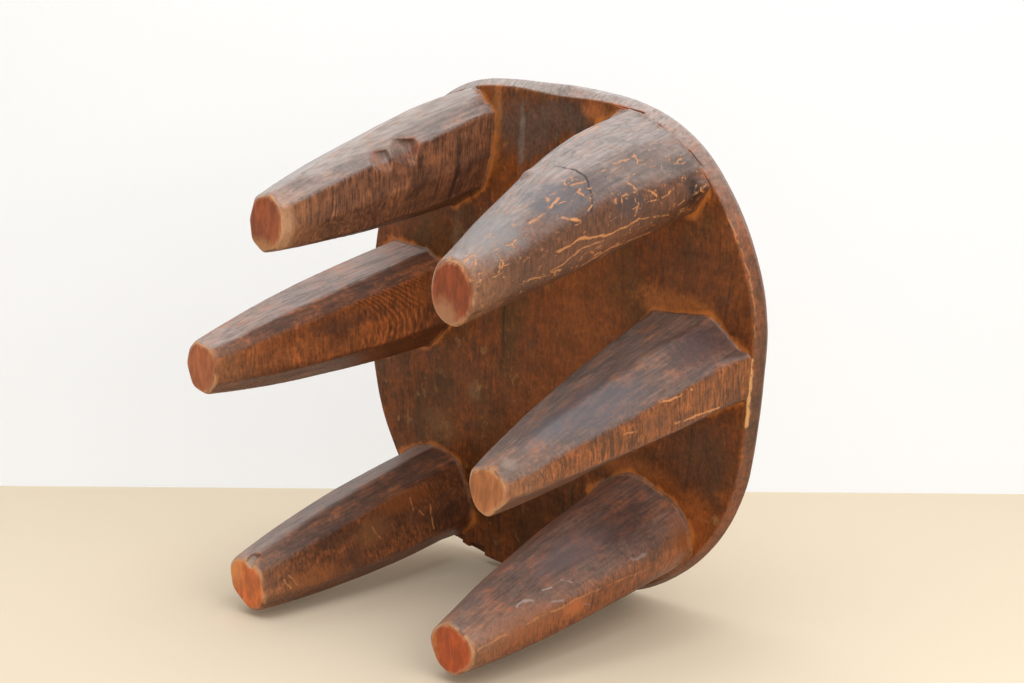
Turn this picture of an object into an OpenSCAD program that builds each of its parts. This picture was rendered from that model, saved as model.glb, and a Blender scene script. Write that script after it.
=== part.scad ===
// Six-legged Nupe stool, hewn from one block of wood. It stands on its feet, +Z up, with the front
// towards -Y. Millimetres and degrees. The seat and the six legs are one piece of wood on the real
// stool, and each has its own solid here: a leg's root lies face to face on the seat's underside.

/* [Seat] */
// Mean diameter of the seat along its lower edge
seat_d = 360; // [300:1:420]
// Thickness of the seat at its rim
seat_t = 26; // [22:1:40]
// How far the side of the seat leans out above its lower edge
side_flare = 4; // [0:0.5:8]
// Height on the side where the seat is widest
side_flare_h = 9; // [6:0.5:14]
// Inset of the top of the rim from the seat's lower edge, where the bevel above the side ends
bevel_in = 9; // [4:0.5:16]
// How far the bevel crowns outwards at its middle
bevel_crown = 2; // [0:0.5:3]
// Width of the flat land along the top of the rim
rim_land = 7; // [3:0.5:12]
// Depth of the dished top at its middle
dish_depth = 8; // [3:0.5:12]

/* [Carved border on the top] */
// Distance from the rim's land to the outer groove
groove_in = 10; // [6:0.5:20]
// Distance between the two grooves
groove_pitch = 8; // [5:0.5:14]
// Width of a groove
groove_w = 3; // [2:0.25:4]
// Depth of a groove
groove_depth = 1.5; // [0.75:0.25:2.5]

/* [Legs] */
// Height of the legs, from the floor to the seat's underside
leg_h = 194; // [150:1:240]
// Depth of a foot
foot_deep = 35; // [28:1:44]
// Width of a foot
foot_wide = 37; // [28:1:44]
// Depth of a root, where a leg meets the seat
root_deep = 85; // [70:1:96]
// Width of a root
root_wide = 82; // [70:1:92]
// How far a leg's side stands out between its foot and its root
leg_swell = 3.5; // [0:0.5:7]
// Share of the leg's height at which it swells most
swell_at = 0.45; // [0.3:0.05:0.6]
// How square the sections are: 2 is an ellipse
squareness = 2.4; // [2:0.1:4]
// Width of the worn flat along each edge between two facets
arris = 2.5; // [1:0.25:4]
// Size of the worn chamfer round the sole of a foot
sole_chamfer = 2; // [1:0.25:4]
// Step between a leg's outer face and the seat's lower edge
root_step = 0.5; // [0.25:0.25:2]
// How softly a leg's outer face turns into line with the seat's edge
root_blend = 3; // [1:0.5:6]

/* [Fineness] */
// Points round the seat
seat_points = 96; // [48:12:144]
// Sections along a leg
leg_sections = 12; // [8:1:16]

/* [Hidden] */

seat_wood = [0.33, 0.17, 0.09];
leg_wood = [0.38, 0.20, 0.11];

// The hand-cut edge: how far it stands off a true circle, every 30 degrees from the right, turning
// towards the back
edge_offsets = [-13, -6, 5, -4, 14, 3, -12, -4, 0, -1, 15, 2];
offset_step = 360 / len(edge_offsets);

seat_top = leg_h + seat_t;
dish_in = bevel_in + rim_land;
dish_rings = 8;
bevel_rings = 5;

// One row a leg, as the carver left it. Root: direction from the seat's middle, inset of its middle
// from the edge, extra depth, extra width and twist. Foot: further turn round the seat, move outwards,
// extra depth, extra width and twist. Then the directions of the eight corners of its section.
LEG_BACK_RIGHT = [
    [57.5, 33, -29, 13, -46], [2, -20, -4, 4, -43],
    [-16, 40, 86, 125, 176, 221, 267, 300]
];
LEG_BACK_LEFT = [
    [118.5, 18, 11, 8, -1], [11, -36, 9, -4, -24],
    [6, 50, 84, 108, 168, 215, 256, 317]
];
LEG_MID_RIGHT = [
    [2.5, 40, -4, -5, 3], [-3, 6, -4, 1, 13],
    [23, 57, 107, 131, 192, 240, 285, 342]
];
LEG_MID_LEFT = [
    [171.5, 47, 8, -4, 5], [11, -3, -5, -3, -3],
    [-21, 13, 103, 135, 166, 196, 227, 292]
];
LEG_FRONT_RIGHT = [
    [305, 13, 6, -9, 28], [-3, -9, 1, 2, 35],
    [-9, 42, 72, 118, 154, 214, 251, 286]
];
LEG_FRONT_LEFT = [
    [230.5, 36, 6, -6, -32], [1, 10, 1, -1, -30],
    [0, 66, 108, 157, 182, 235, 292, 321]
];

// A smooth curve through the edge's offsets
function edge_offset(k) = edge_offsets[(k + len(edge_offsets)) % len(edge_offsets)];
function through(a, b, c, d, t) =
    b + t * (c - a) / 2 + t * t * (2 * a - 5 * b + 4 * c - d) / 2 + t * t * t * (3 * b - a - 3 * c + d) / 2;
function edge_r(turn) =
    let (steps = ((turn % 360) + 360) % 360 / offset_step, k = floor(steps))
    seat_d / 2 + through(
        edge_offset(k - 1), edge_offset(k), edge_offset(k + 1), edge_offset(k + 2), steps - k
    );

// A ring that follows the edge: inset from it, then drawn in to a share of what is left
function polar(r, turn) = [r * cos(turn), r * sin(turn)];
function edge_ring(inset, share, z) = [
    for (i = [0:seat_points - 1])
        let (turn = 360 * i / seat_points)
        concat(polar((edge_r(turn) - inset) * share, turn) - middle, z)
];

// The middle of the seat's box, which is the origin
widest = [for (i = [0:seat_points - 1]) let (turn = 360 * i / seat_points) polar(edge_r(turn) + side_flare, turn)];
widest_x = [for (p = widest) p.x];
widest_y = [for (p = widest) p.y];
middle = [max(widest_x) + min(widest_x), max(widest_y) + min(widest_y)] / 2;

// A closed solid through a stack of rings, each counter-clockwise from above
module loft(rings) {
    n = len(rings[0]);
    last = len(rings) - 1;
    walls = [
        for (i = [0:last - 1], j = [0:n - 1])
            let (a = i * n + j, b = i * n + (j + 1) % n)
            each [[a, a + n, b + n], [a, b + n, b]]
    ];
    bottom = [for (j = [0:n - 1]) j];
    top = [for (j = [n - 1:-1:0]) last * n + j];
    polyhedron(points = [for (ring = rings) each ring], faces = concat(walls, [bottom, top]), convexity = 4);
}

// Height of the dished top at a distance in from the edge
function dish_z(inset) =
    let (reach = seat_d / 2 - dish_in, out = (seat_d / 2 - inset) / reach)
    seat_top - dish_depth * (1 - out * out);
function groove_rings(inset) = [
    edge_ring(inset - groove_w / 2, 1, dish_z(inset - groove_w / 2)),
    edge_ring(inset, 1, dish_z(inset) - groove_depth),
    edge_ring(inset + groove_w / 2, 1, dish_z(inset + groove_w / 2))
];

module seat() {
    outer_groove = dish_in + groove_in;
    inner_groove = outer_groove + groove_pitch;
    inside = inner_groove + groove_w;
    bevel_h = seat_t - side_flare_h;
    side = [edge_ring(0, 1, leg_h), edge_ring(-side_flare, 1, leg_h + side_flare_h)];
    bevel = [
        for (k = [1:bevel_rings])
            let (s = k / bevel_rings, crown = bevel_crown * sin(180 * s))
            edge_ring((bevel_in + side_flare) * s - side_flare - crown, 1, leg_h + side_flare_h + bevel_h * s)
    ];
    land = [edge_ring(dish_in, 1, seat_top)];
    dish = [
        for (k = [0:dish_rings])
            let (share = 1 - 0.88 * k / dish_rings, reach = seat_d / 2 - inside)
            edge_ring(inside, share, dish_z(seat_d / 2 - reach * share))
    ];
    color(seat_wood)
        loft(concat(side, bevel, land, groove_rings(outer_groove), groove_rings(inner_groove), dish));
}

// A corner kept inside the seat's edge, so that the leg's outer face ends flush with it
function kept_in(p) =
    let (limit = edge_r(atan2(p.y, p.x)) - root_step, past = (norm(p) - limit) / root_blend)
    p * (1 - root_blend * ln(1 + exp(past)) / norm(p));

function section_r(half, turn) =
    1 / pow(
        pow(abs(cos(turn)) / half[0], squareness) + pow(abs(sin(turn)) / half[1], squareness),
        1 / squareness
    );
function swelling(s) = leg_swell * sin(180 * pow(s, ln(0.5) / ln(swell_at)));

// The eight corners of a leg's section at a share of its height, drawn in by the sole's chamfer
function corners(row, s, drawn_in) =
    let (
        root = row[0],
        foot = row[1],
        root_r = edge_r(root[0]) - root[1],
        root_at = polar(root_r, root[0]),
        foot_at = polar(root_r + foot[1], root[0] + foot[0]),
        at = foot_at + (root_at - foot_at) * s,
        foot_half = [foot_deep + foot[2], foot_wide + foot[3]] / 2,
        root_half = [root_deep + root[2], root_wide + root[3]] / 2,
        grown = swelling(s) - drawn_in,
        half = foot_half + (root_half - foot_half) * s + [grown, grown],
        twist = root[0] + foot[4] + (root[4] - foot[4]) * s
    )
    [for (turn = row[2]) kept_in(at + polar(section_r(half, turn), turn + twist))];

// Each corner worn to a narrow flat
function worn(ring) =
    let (n = len(ring))
    [
        for (i = [0:n - 1])
            let (
                back = ring[(i + n - 1) % n] - ring[i],
                on = ring[(i + 1) % n] - ring[i],
                cut = min(arris / 2, norm(back) / 3, norm(on) / 3)
            )
            each [ring[i] + back / norm(back) * cut, ring[i] + on / norm(on) * cut]
    ];
function leg_ring(row, s, drawn_in) = [
    for (p = worn(corners(row, s, drawn_in))) concat(p - middle, s * leg_h)
];

module leg(row) {
    sole = leg_ring(row, 0, sole_chamfer);
    shares = [for (k = [0:leg_sections]) let (low = sole_chamfer / leg_h) low + (1 - low) * k / leg_sections];
    color(leg_wood) loft(concat([sole], [for (s = shares) leg_ring(row, s, 0)]));
}

module leg_back_right() { leg(LEG_BACK_RIGHT); }
module leg_back_left() { leg(LEG_BACK_LEFT); }
module leg_mid_right() { leg(LEG_MID_RIGHT); }
module leg_mid_left() { leg(LEG_MID_LEFT); }
module leg_front_right() { leg(LEG_FRONT_RIGHT); }
module leg_front_left() { leg(LEG_FRONT_LEFT); }

seat();
leg_back_right();
leg_back_left();
leg_mid_right();
leg_mid_left();
leg_front_right();
leg_front_left();
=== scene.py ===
"""Looks of a six-legged stool hewn from one block of wood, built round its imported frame."""

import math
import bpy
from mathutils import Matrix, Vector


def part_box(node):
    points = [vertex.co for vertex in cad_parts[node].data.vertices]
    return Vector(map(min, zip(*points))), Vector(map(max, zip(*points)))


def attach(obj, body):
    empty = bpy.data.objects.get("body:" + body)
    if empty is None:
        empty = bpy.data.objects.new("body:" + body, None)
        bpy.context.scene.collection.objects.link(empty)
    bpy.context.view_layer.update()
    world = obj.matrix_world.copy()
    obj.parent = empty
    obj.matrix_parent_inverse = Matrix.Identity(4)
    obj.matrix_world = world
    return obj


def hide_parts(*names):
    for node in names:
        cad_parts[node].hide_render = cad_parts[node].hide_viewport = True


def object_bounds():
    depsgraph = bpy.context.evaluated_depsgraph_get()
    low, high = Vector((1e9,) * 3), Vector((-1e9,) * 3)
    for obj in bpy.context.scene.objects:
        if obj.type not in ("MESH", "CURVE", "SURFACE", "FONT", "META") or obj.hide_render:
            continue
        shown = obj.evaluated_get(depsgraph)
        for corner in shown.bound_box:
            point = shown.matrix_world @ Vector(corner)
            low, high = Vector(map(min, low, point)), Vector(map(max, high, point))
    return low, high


bl_info = {
    "name": "Hewn stool",
    "version": (1, 0, 0),
    "blender": (4, 5, 0),
    "location": "3D View > Sidebar > Stool",
    "description": "Carves and finishes a six-legged stool hewn from one block of wood",
    "category": "Object",
}

import bmesh
import bpy
import numpy as np
from mathutils import Matrix, Vector

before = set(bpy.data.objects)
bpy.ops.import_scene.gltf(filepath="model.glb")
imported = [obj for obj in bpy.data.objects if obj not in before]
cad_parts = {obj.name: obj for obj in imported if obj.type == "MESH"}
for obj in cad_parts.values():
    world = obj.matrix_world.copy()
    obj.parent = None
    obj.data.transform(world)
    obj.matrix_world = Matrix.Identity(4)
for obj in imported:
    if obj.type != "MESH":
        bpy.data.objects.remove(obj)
CAD_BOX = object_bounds()

MM = 0.001
LEG_NODES = sorted(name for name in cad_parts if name.startswith("leg"))

# Points nearer to each other than this count as one
SAME = 0.01 * MM

# The heights that the frame gives: the underside of the seat and its top
SEAT_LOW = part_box("seat")[0].z
SEAT_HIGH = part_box("seat")[1].z

# Height of the widest line of the seat's side
WIDEST_Z = SEAT_LOW + 9 * MM


# Settings that a user would change


class StoolCarving(bpy.types.PropertyGroup):
    """Sizes of the carver's tool marks and of the wear on them"""

    leg_mesh: bpy.props.FloatProperty(
        name="Leg mesh", description="Size of a leg's finished faces",
        default=0.85 * MM, unit="LENGTH"
    )
    hewing_depth: bpy.props.FloatProperty(
        name="Hewing depth", description="Depth of the long adze strokes on a leg",
        default=0.9 * MM, unit="LENGTH"
    )
    hewing_width: bpy.props.FloatProperty(
        name="Hewing width", description="Width of one adze stroke on a leg",
        default=14 * MM, unit="LENGTH"
    )
    relief_depth: bpy.props.FloatProperty(
        name="Relief depth", description="Depth of the worn grain",
        default=0.25 * MM, unit="LENGTH"
    )
    hollow_depth: bpy.props.FloatProperty(
        name="Hollow depth", description="Depth of the shallow hollows under the seat",
        default=2 * MM, unit="LENGTH"
    )
    root_fillet: bpy.props.FloatProperty(
        name="Root fillet", description="Fillet where a leg grows out of the seat",
        default=2 * MM, unit="LENGTH"
    )
    root_sink: bpy.props.FloatProperty(
        name="Root sink", description="How far a leg's mesh runs on into the seat",
        default=3 * MM, unit="LENGTH"
    )


class StoolWood(bpy.types.PropertyGroup):
    """Colours and figure of the wood and of its finish"""

    fresh: bpy.props.FloatVectorProperty(
        name="Fresh wood", description="Wood laid bare by wear",
        default=(0.5, 0.16, 0.04), subtype="COLOR"
    )
    body: bpy.props.FloatVectorProperty(
        name="Body", description="Oiled wood between the dark streaks",
        default=(0.25, 0.088, 0.03), subtype="COLOR"
    )
    streak: bpy.props.FloatVectorProperty(
        name="Streak", description="Dark streaks along the grain",
        default=(0.085, 0.033, 0.015), subtype="COLOR"
    )
    patina: bpy.props.FloatVectorProperty(
        name="Patina", description="Dark skin left by handling",
        default=(0.058, 0.029, 0.02), subtype="COLOR"
    )
    # Part of this grey stands for painted sheen of the sky on the faces turned to the light
    bloom_and_sheen: bpy.props.FloatVectorProperty(
        name="Bloom", description="Grey weathering on the upper faces",
        default=(0.37, 0.335, 0.315), subtype="COLOR"
    )
    rind: bpy.props.FloatVectorProperty(
        name="Rind", description="Pale worn border of a sole",
        default=(0.56, 0.3, 0.15), subtype="COLOR"
    )
    ring_width: bpy.props.FloatProperty(
        name="Ring width", description="Width of a growth ring",
        default=4.2 * MM, unit="LENGTH"
    )
    pith: bpy.props.FloatVectorProperty(
        name="Pith", description="Where the tree's heart runs, along Y",
        default=(0, 0, -0.03), unit="LENGTH"
    )


class StoolStage(bpy.types.PropertyGroup):
    """Camera, floor and light, taken from the photograph"""

    camera_at: bpy.props.FloatVectorProperty(
        name="Camera", description="Place of the camera",
        default=(-0.7334, 0.4482, -0.7069), unit="LENGTH"
    )
    camera_turn: bpy.props.FloatVectorProperty(
        name="Camera turn", description="Turn of the camera",
        default=tuple(math.radians(a) for a in (160.698, -40.963, 177.4535)), subtype="EULER"
    )
    lens: bpy.props.FloatProperty(
        name="Lens", description="Focal length on a 36 mm frame",
        default=63.28, unit="CAMERA"
    )
    floor_up: bpy.props.FloatVectorProperty(
        name="Floor up", description="Upward normal of the table that the stool lies on",
        default=(0.1401, 0.9825, 0.1231), subtype="DIRECTION"
    )
    floor_reach: bpy.props.FloatProperty(
        name="Floor reach", description="Distance of the floor below the origin, along its normal",
        default=0.15286, unit="LENGTH"
    )
    wall_foot: bpy.props.FloatVectorProperty(
        name="Wall foot", description="A point where the floor meets the backdrop",
        default=(0.1687, -0.2255, 0.3657), unit="LENGTH"
    )
    floor_colour: bpy.props.FloatVectorProperty(
        name="Floor", description="Colour of the floor",
        default=(0.7, 0.6, 0.455), subtype="COLOR"
    )
    wall_colour: bpy.props.FloatVectorProperty(
        name="Backdrop", description="Colour of the backdrop",
        default=(0.96, 0.97, 0.975), subtype="COLOR"
    )
    sky_above: bpy.props.FloatProperty(
        name="Sky above", description="Strength of the light from above",
        default=0.88
    )
    sky_round: bpy.props.FloatProperty(
        name="Sky round", description="Strength of the light from the sides",
        default=0.2
    )
    overhead: bpy.props.FloatProperty(
        name="Overhead", description="Power of the large overhead light",
        default=9, unit="POWER"
    )
    side: bpy.props.FloatProperty(
        name="Side", description="Power of the large light beside the camera",
        default=9, unit="POWER"
    )


# Modelling helpers


def only(piece):
    """Selects one piece alone and makes it the active one, in object mode."""
    if bpy.context.mode != "OBJECT":
        bpy.ops.object.mode_set(mode="OBJECT")
    bpy.ops.object.select_all(action="DESELECT")
    piece.select_set(True)
    bpy.context.view_layer.objects.active = piece


def finish_with(piece, kind, **values):
    """Adds a modifier to a piece and applies it."""
    only(piece)
    modifier = piece.modifiers.new(kind.title(), kind)
    for name, value in values.items():
        setattr(modifier, name, value)
    bpy.ops.object.modifier_apply(modifier=modifier.name)


def merged_copy(node, name):
    """A copy of a CAD node with a mesh of its own, its loose triangles joined up."""
    piece = bpy.data.objects.new(name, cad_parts[node].data.copy())
    piece.data.name = name
    bpy.context.scene.collection.objects.link(piece)
    only(piece)
    bpy.ops.object.mode_set(mode="EDIT")
    bpy.ops.mesh.select_all(action="SELECT")
    bpy.ops.mesh.remove_doubles(threshold=SAME)
    bpy.ops.object.mode_set(mode="OBJECT")
    return piece


def pick(piece, kind, wanted):
    """Leaves a piece in edit mode with its wanted faces or edges selected."""
    only(piece)
    bpy.ops.object.mode_set(mode="EDIT")
    bpy.ops.mesh.select_mode(type=kind)
    bpy.ops.mesh.select_all(action="DESELECT")
    mesh = bmesh.from_edit_mesh(piece.data)
    for part in mesh.faces if kind == "FACE" else mesh.edges:
        part.select_set(wanted(part))
    bmesh.update_edit_mesh(piece.data)


def places(piece):
    """A piece's points as an array."""
    found = np.empty(len(piece.data.vertices) * 3)
    piece.data.vertices.foreach_get("co", found)
    return found.reshape(-1, 3)


def put_places(piece, points):
    """Moves a piece's points."""
    piece.data.vertices.foreach_set("co", points.ravel())
    piece.data.update()


def normals(piece):
    """The outward direction at each of a piece's points."""
    found = np.empty(len(piece.data.vertices) * 3)
    piece.data.vertices.foreach_get("normal", found)
    return found.reshape(-1, 3)


def put_mask(piece, name, values):
    """Stores one number for each point, for the material to read."""
    mask = piece.data.attributes.new(name, "FLOAT", "POINT")
    mask.data.foreach_set("value", np.asarray(values, np.float32))


def weigh(piece, name, values):
    """Makes a vertex group from one weight for each point, in steps of a tenth."""
    group = piece.vertex_groups.new(name=name)
    tenths = np.round(np.clip(values, 0, 1) * 10).astype(int)
    for tenth in range(1, 11):
        group.add(np.nonzero(tenths == tenth)[0].tolist(), tenth / 10, "REPLACE")
    return group.name


def clouds(name, size, depth=1):
    """A cloudy texture for a Displace modifier."""
    texture = bpy.data.textures.new(name, "CLOUDS")
    texture.noise_scale = size
    texture.noise_depth = depth
    return texture


def radius(points):
    """How far each point is from the vertical through the origin."""
    return np.hypot(points[..., 0], points[..., 1])


def bearing(points):
    """The direction of each point from the vertical through the origin, in radians."""
    return np.arctan2(points[..., 1], points[..., 0])


def smoothstep(values):
    """Nought to one with soft ends."""
    share = np.clip(values, 0, 1)
    return share * share * (3 - 2 * share)


def keep_in_box(piece):
    """Takes off what the finish has raised past the frame's box."""
    put_places(piece, np.clip(places(piece), *(np.array(corner) for corner in CAD_BOX)))


def dress(piece, wood):
    """Smooths a piece's shading and gives it its wood."""
    only(piece)
    bpy.ops.object.shade_smooth()
    piece.data.materials.clear()
    piece.data.materials.append(wood)


# The seat's outline, read from the frame


def seat_edge():
    """Directions round the seat's lower edge and its distance from the origin at each."""
    points = places(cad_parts["seat"])
    ring = points[(points[:, 2] < SEAT_LOW + SAME) & (radius(points) > 100 * MM)]
    turns, first = np.unique(bearing(ring).round(5), return_index=True)
    return turns, radius(ring[first])


EDGE_TURNS, EDGE_RADII = seat_edge()


def edge_radius(points):
    """Distance of the seat's lower edge from the origin, in each point's direction."""
    return np.interp(bearing(points), EDGE_TURNS, EDGE_RADII, period=math.tau)


def inset(points):
    """How far each point is inside the seat's lower edge."""
    return edge_radius(points) - radius(points)


# Wear, from the shape of the finished mesh

# The side that has greyed and that faces the light, which is the upper one as the stool lies on its edge;
# its grey is partly painted sheen
WEATHER_AND_SHEEN_SIDE = (0.14, 0.98, 0.12)


class Web:
    """A piece's edges, which tell what adjoins each of its points."""

    def __init__(self, piece):
        ends = np.empty(len(piece.data.edges) * 2, int)
        piece.data.edges.foreach_get("vertices", ends)
        self.first, self.second = ends.reshape(-1, 2).T
        self.count = len(piece.data.vertices)
        self.degree = np.maximum(np.bincount(ends, minlength=self.count), 1)

    def gathered(self, at_first, at_second):
        """The mean at each point of what its edges hold for their first and their second ends."""
        total = np.bincount(self.first, at_first, self.count)
        total += np.bincount(self.second, at_second, self.count)
        return total / self.degree

    def around(self, values):
        """The mean at each point of the values at the points that adjoin it."""
        if values.ndim > 1:
            return np.stack([self.around(column) for column in values.T], 1)
        return self.gathered(values[self.second], values[self.first])

    def spread(self, values, steps):
        """The values, halfway to the mean of what adjoins them in each step."""
        for _ in range(steps):
            values = (values + self.around(values)) / 2
        return values


def worn_edges(piece, steps, shown):
    """Stores how sharply each point stands out, spread in steps, as far as it is shown there."""
    web = Web(piece)
    points = places(piece)
    lengths = np.linalg.norm(points[web.first] - points[web.second], axis=1)
    step = np.maximum(web.gathered(lengths, lengths), 0.2 * MM)
    pull = web.around(points) - points
    bend = -2 * (pull * normals(piece)).sum(1) / step**2 * MM
    put_mask(piece, "worn", web.spread(bend, steps) * shown)


def weathered_and_sheened(piece, steps):
    """Stores how far each point faces the side that light and dust have reached, for grey weathering and
    painted sheen.
    """
    put_mask(piece, "weather_and_sheen", Web(piece).spread(normals(piece) @ np.array(WEATHER_AND_SHEEN_SIDE), steps))


# Legs


# Cuts of the adze: the blade's shape, where on the surface, the surface's outward direction and the
# stroke's direction, then the cut's length, width and depth in millimetres. The floor of a cut runs in
# from the surface and deepens along the stroke, up to a steep stop.
CUTS = {
    "leg_back_right": [
        ("SQUARE", (51.5, 142.5, 84), (-0.8, 0.58, -0.1), (-0.15, 0.0, 0.95), 17, 14, 4.5),
        ("SQUARE", (51.5, 145.5, 105), (-0.8, 0.58, -0.1), (-0.2, -0.15, 0.93), 22, 18, 7),
    ],
    "leg_back_left": [
        ("ROUND", (-88, 164.5, 60), (-0.1, 0.95, -0.3), (0, 0.3, 0.95), 55, 46, 2.4),
    ],
    "leg_front_right": [
        ("SQUARE", (90, -129, 3), (-0.3, 0.9, -0.3), (0.3, 0, 0.95), 14, 7, 2.5),
    ],
    "seat": [
        ("SQUARE", (58, -177, 196), (0.2, -0.8, -0.6), (-0.9, -0.3, 0), 16, 14, 5),
        ("SQUARE", (42, -182, 195), (0.2, -0.8, -0.6), (-1, -0.1, 0), 9, 18, 1.6),
        ("SQUARE", (76, -171, 195), (0.4, -0.7, -0.6), (-0.8, -0.5, 0.2), 12, 12, 2.5),
        ("SQUARE", (-114, 156.5, 194.5), (-0.5, 0.75, -0.4), (0.75, 0.55, 0), 12, 3, 3),
        ("SQUARE", (-59, 179, 194.5), (-0.1, 0.8, -0.6), (-1, 0, 0.05), 26, 1.6, 1.2),
    ],
}

# How round each leg's corners are worn, in degrees: at its root, along the leg, and how much more at
# its foot
ROUNDING = {
    "leg_back_right": (0, 0, 3), "leg_back_left": (3, 9, 6), "leg_mid_right": (0, 0, 6),
    "leg_mid_left": (2, 0, 8), "leg_front_right": (12, 1, 6), "leg_front_left": (14, 4, 7),
}

# How far from its end a root or a foot is worn in its own way
ROUNDED_END = 60 * MM

# The directions in which a section's wear is worked out
SECTION_TURNS = np.radians(np.arange(0, 360, 4))

# The fillet at each leg's root, as a share of the usual one
FILLETS = {
    "leg_back_right": 1, "leg_back_left": 0.5, "leg_mid_right": 0.9,
    "leg_mid_left": 0.6, "leg_front_right": 1, "leg_front_left": 1.2,
}

# The finish of each leg's facets: the direction that one faces, in degrees, how grey it is, from weathering
# and painted sheen, and how dark it is
FACETS = {
    "leg_back_right": [(62, 0.95, 0), (127, 0.34, 0.35), (200, 0, 0.05), (243, 0, 0.5)],
    "leg_back_left": [],
    "leg_mid_right": [(93, 0.6, 0.05), (126, 0.03, 0.45), (223, 0, 0.45)],
    "leg_mid_left": [(65, 0.24, 0.5), (124, 0.13, 0.5), (233, 0, 0.45)],
    "leg_front_right": [(69, 0.5, 0.15), (106, 0.07, 0.45), (161, 0, 0.15), (218, 0, 0.3)],
    "leg_front_left": [(50, 0.12, 0.35), (104, 0.18, 0.4), (137, 0.22, 0.3), (233, 0, 0.2)],
}

# How far the borders between two facets' finishes are blurred, in steps
SOFTNESS = {"leg_front_left": 60, "leg_front_right": 8, "leg_mid_right": 2}

# How the border between two facets wavers: the length of each wave, and how far it swings in radians
RAGGED_BORDERS = ((5 * MM, 0.012), (22 * MM, 0.03))

# Lumps that the adze left standing: where, then their size and height in millimetres
LUMPS = {
    "leg_back_left": [((-73, 162, 82), 5, 2.6)],
    "leg_front_right": [((88, -126, 6), 4, 1.2)],
}


def blade(shape, at, outward, stroke, length, width, depth):
    """The solid that one stroke of the adze takes away."""
    if shape == "ROUND":
        bpy.ops.mesh.primitive_cylinder_add(vertices=96, radius=0.5, depth=1)
    else:
        bpy.ops.mesh.primitive_cube_add(size=1)
    cutter = bpy.context.active_object
    # How far the cutter stands out of the wood, in millimetres
    tall = 30
    out = Vector(outward).normalized()
    side = out.cross(Vector(stroke)).normalized()
    ahead = side.cross(out)
    floor = (ahead * length - out * depth).normalized()
    up = floor.cross(side)
    turn = Matrix((floor, side, up)).transposed().to_4x4()
    middle = Vector(at) - out * (depth / 2) + up * (tall / 2)
    size = Matrix.Diagonal((length, width, tall, 1))
    cutter.data.transform(Matrix.Scale(MM, 4) @ Matrix.Translation(middle) @ turn @ size)
    return cutter


def cut(piece, node):
    """Takes a node's adze cuts out of its piece."""
    for stroke in CUTS.get(node, []):
        cutter = blade(*stroke)
        finish_with(piece, "BOOLEAN", operation="DIFFERENCE", object=cutter, solver="MANIFOLD")
        bpy.data.objects.remove(cutter)


def leave_lumps(leg, node):
    """Raises the lumps that the adze left on a leg."""
    points, out = places(leg), normals(leg)
    for at, size, height in LUMPS.get(node, []):
        apart = np.linalg.norm(points - np.array(at) * MM, axis=1) / (size * MM)
        points += out * (height * MM * np.exp(-(apart**2)))[:, None]
    put_places(leg, points)


def run_into_seat(leg, sink):
    """Lengthens a leg's root into the seat."""
    pick(leg, "FACE", lambda face: face.normal.z > 0.99 and face.calc_center_median().z > SEAT_LOW - MM)
    bpy.ops.mesh.extrude_region_move(TRANSFORM_OT_translate={"value": (0, 0, sink)})
    bpy.ops.object.mode_set(mode="OBJECT")


def sections(node):
    """A leg's sections in the frame: their heights, their middles and their outlines, point for point."""
    cage = places(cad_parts[node])
    levels = np.unique(cage[:, 2].round(5))
    middles, outlines = [], []
    for level in levels:
        ring = np.unique(cage[np.abs(cage[:, 2] - level) < SAME][:, :2].round(5), axis=0)
        off = ring - ring.mean(0)
        off = off[np.argsort(bearing(off))]
        off = off[radius(off - np.roll(off, 1, 0)) > 0.05 * MM]
        if outlines:
            turned = [np.roll(off, step, 0) for step in range(len(off))]
            off = min(turned, key=lambda points: np.abs(points - outlines[-1]).sum())
        middles.append(ring.mean(0))
        outlines.append(off)
    outlines = np.array(outlines)
    sides = radius(np.roll(outlines, -1, 1) - outlines).sum(0)
    if sides[0::2].sum() > sides[1::2].sum():
        outlines = np.roll(outlines, -1, 1)
    return levels, np.array(middles), outlines


def section_wear(off, spread):
    """How far rounding a section moves its outline in or out in each direction."""
    steps = np.linspace(0, 1, 12, endpoint=False)[:, None]
    outline = np.concatenate([a + (b - a) * steps for a, b in zip(off, np.roll(off, -1, 0))])
    turns = bearing(outline)
    order = np.argsort(turns)
    reach = np.interp(SECTION_TURNS, turns[order], radius(outline)[order], period=math.tau)
    waves = np.fft.rfft(reach)
    waves *= np.exp(-0.5 * (np.arange(len(waves)) * math.radians(spread)) ** 2)
    return np.fft.irfft(waves, len(reach)) / reach


def off_axis(points, levels, middles):
    """The middle of a leg at each point's height, and how far off it each point is."""
    middle = np.stack([np.interp(points[:, 2], levels, middles[:, axis]) for axis in range(2)], 1)
    return middle, points[:, :2] - middle


def round_sections(leg, node):
    """Wears the corners of a leg's section round."""
    root, along, foot = ROUNDING[node]
    levels, middles, outlines = sections(node)
    spreads = along + (root - along) * np.clip(1 - (SEAT_LOW - levels) / ROUNDED_END, 0, 1)
    spreads += foot * np.clip(1 - levels / ROUNDED_END, 0, 1)
    wear = np.array([section_wear(off, spread) for off, spread in zip(outlines, spreads)])
    points = places(leg)
    middle, off = off_axis(points, levels, middles)
    turn = bearing(off) % math.tau / math.tau * len(SECTION_TURNS)
    level = np.interp(points[:, 2], levels, np.arange(len(levels)))
    low = np.minimum(level.astype(int), len(levels) - 2)
    before = turn.astype(int) % len(SECTION_TURNS)
    after = (before + 1) % len(SECTION_TURNS)
    up, on = level - low, turn - turn.astype(int)
    ratio = (wear[low, before] * (1 - on) + wear[low, after] * on) * (1 - up)
    ratio += (wear[low + 1, before] * (1 - on) + wear[low + 1, after] * on) * up
    points[:, :2] = middle + off * ratio[:, None]
    put_places(leg, points)


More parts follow.
